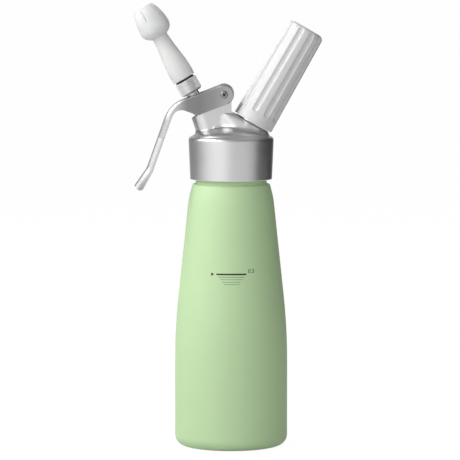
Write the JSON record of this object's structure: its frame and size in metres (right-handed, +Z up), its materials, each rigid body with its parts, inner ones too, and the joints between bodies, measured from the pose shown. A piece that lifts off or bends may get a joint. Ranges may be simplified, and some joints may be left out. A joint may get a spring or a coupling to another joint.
{
  "type": "whipped cream dispenser",
  "caption": "Whipped cream dispenser: tapered coated bottle, cast head with squeeze lever and sprung valve, tulip decorator tip and fluted charger holder.",
  "frame": {"origin": "on the bottle's axis, in the plane of the foot ring that it stands on", "axes": "+Z up the bottle's axis, +X towards the charger holder, -X towards the decorator tip and lever handle, +Y away from the front"},
  "size_m": [0.1325, 0.08, 0.3148],
  "materials": {
    "bottle_coating": "matt soft-touch pale green coating on aluminium",
    "cast_head": "satin cast aluminium, turned collar",
    "lever_sheet": "satin pressed steel",
    "turned_steel": "turned stainless steel",
    "spring_wire": "drawn spring wire",
    "brass_nickel": "nickel-plated knurled metal",
    "white_plastic": "matt white moulded plastic",
    "holder_plastic": "satin gloss white moulded plastic",
    "black_rubber": "black moulded rubber",
    "silicone": "translucent white silicone",
    "charger_steel": "zinc-plated drawn steel"
  },
  "bodies": {
    "bottle": {"bottle": "bottle_coating"},
    "head": {"head": "cast_head", "head_gasket": "silicone", "valve_spring": "spring_wire", "inlet_valve_body": "turned_steel", "piercing_pin": "turned_steel", "charger_seal": "black_rubber", "check_valve": "black_rubber"},
    "lever": {"lever": "lever_sheet", "lever_pivot_pin": "turned_steel", "lever_pivot_screw": "turned_steel"},
    "piston": {"valve_piston": "turned_steel", "piston_seal": "black_rubber", "stem_o_ring": "black_rubber", "spring_collar": "turned_steel", "tip_adaptor": "brass_nickel", "tip_seal": "black_rubber"},
    "tip": {"decorator_tip": "white_plastic"},
    "holder": {"charger_holder": "holder_plastic", "holder_insert": "brass_nickel"},
    "charger": {"gas_charger": "charger_steel"}
  },
  "joints": [
    {"name": "head_lift", "type": "slide", "parent": "bottle", "child": "head", "axis": [0, 0, 1], "range_m": [0, 0.06]},
    {"name": "lever_squeeze", "type": "hinge", "parent": "head", "child": "lever", "pos_m": [-0.00491, 0, 0.2502], "axis": [0, -1, 0], "range_deg": [0, 12], "stiffness_Nm_per_rad": 1.8, "springref_deg": -5.73, "deforming": ["valve_spring"]},
    {"name": "valve_travel", "type": "slide", "parent": "head", "child": "piston", "axis": [0.5, 0, -0.866], "range_m": [0, 0.004]},
    {"name": "tip_pull", "type": "slide", "parent": "piston", "child": "tip", "axis": [-0.5, 0, 0.866], "range_m": [0, 0.02]},
    {"name": "holder_pull", "type": "slide", "parent": "head", "child": "holder", "axis": [0.5, 0, 0.866], "range_m": [0, 0.1]},
    {"name": "charger_pull", "type": "slide", "parent": "head", "child": "charger", "axis": [0.5, 0, 0.866], "range_m": [0, 0.02]}
  ],
  "couplings": [
    {"joint": "valve_travel", "follows": "lever_squeeze", "m_per_rad": 0.019},
    {"joint": "charger_pull", "follows": "holder_pull", "ratio": 0.2}
  ]
}
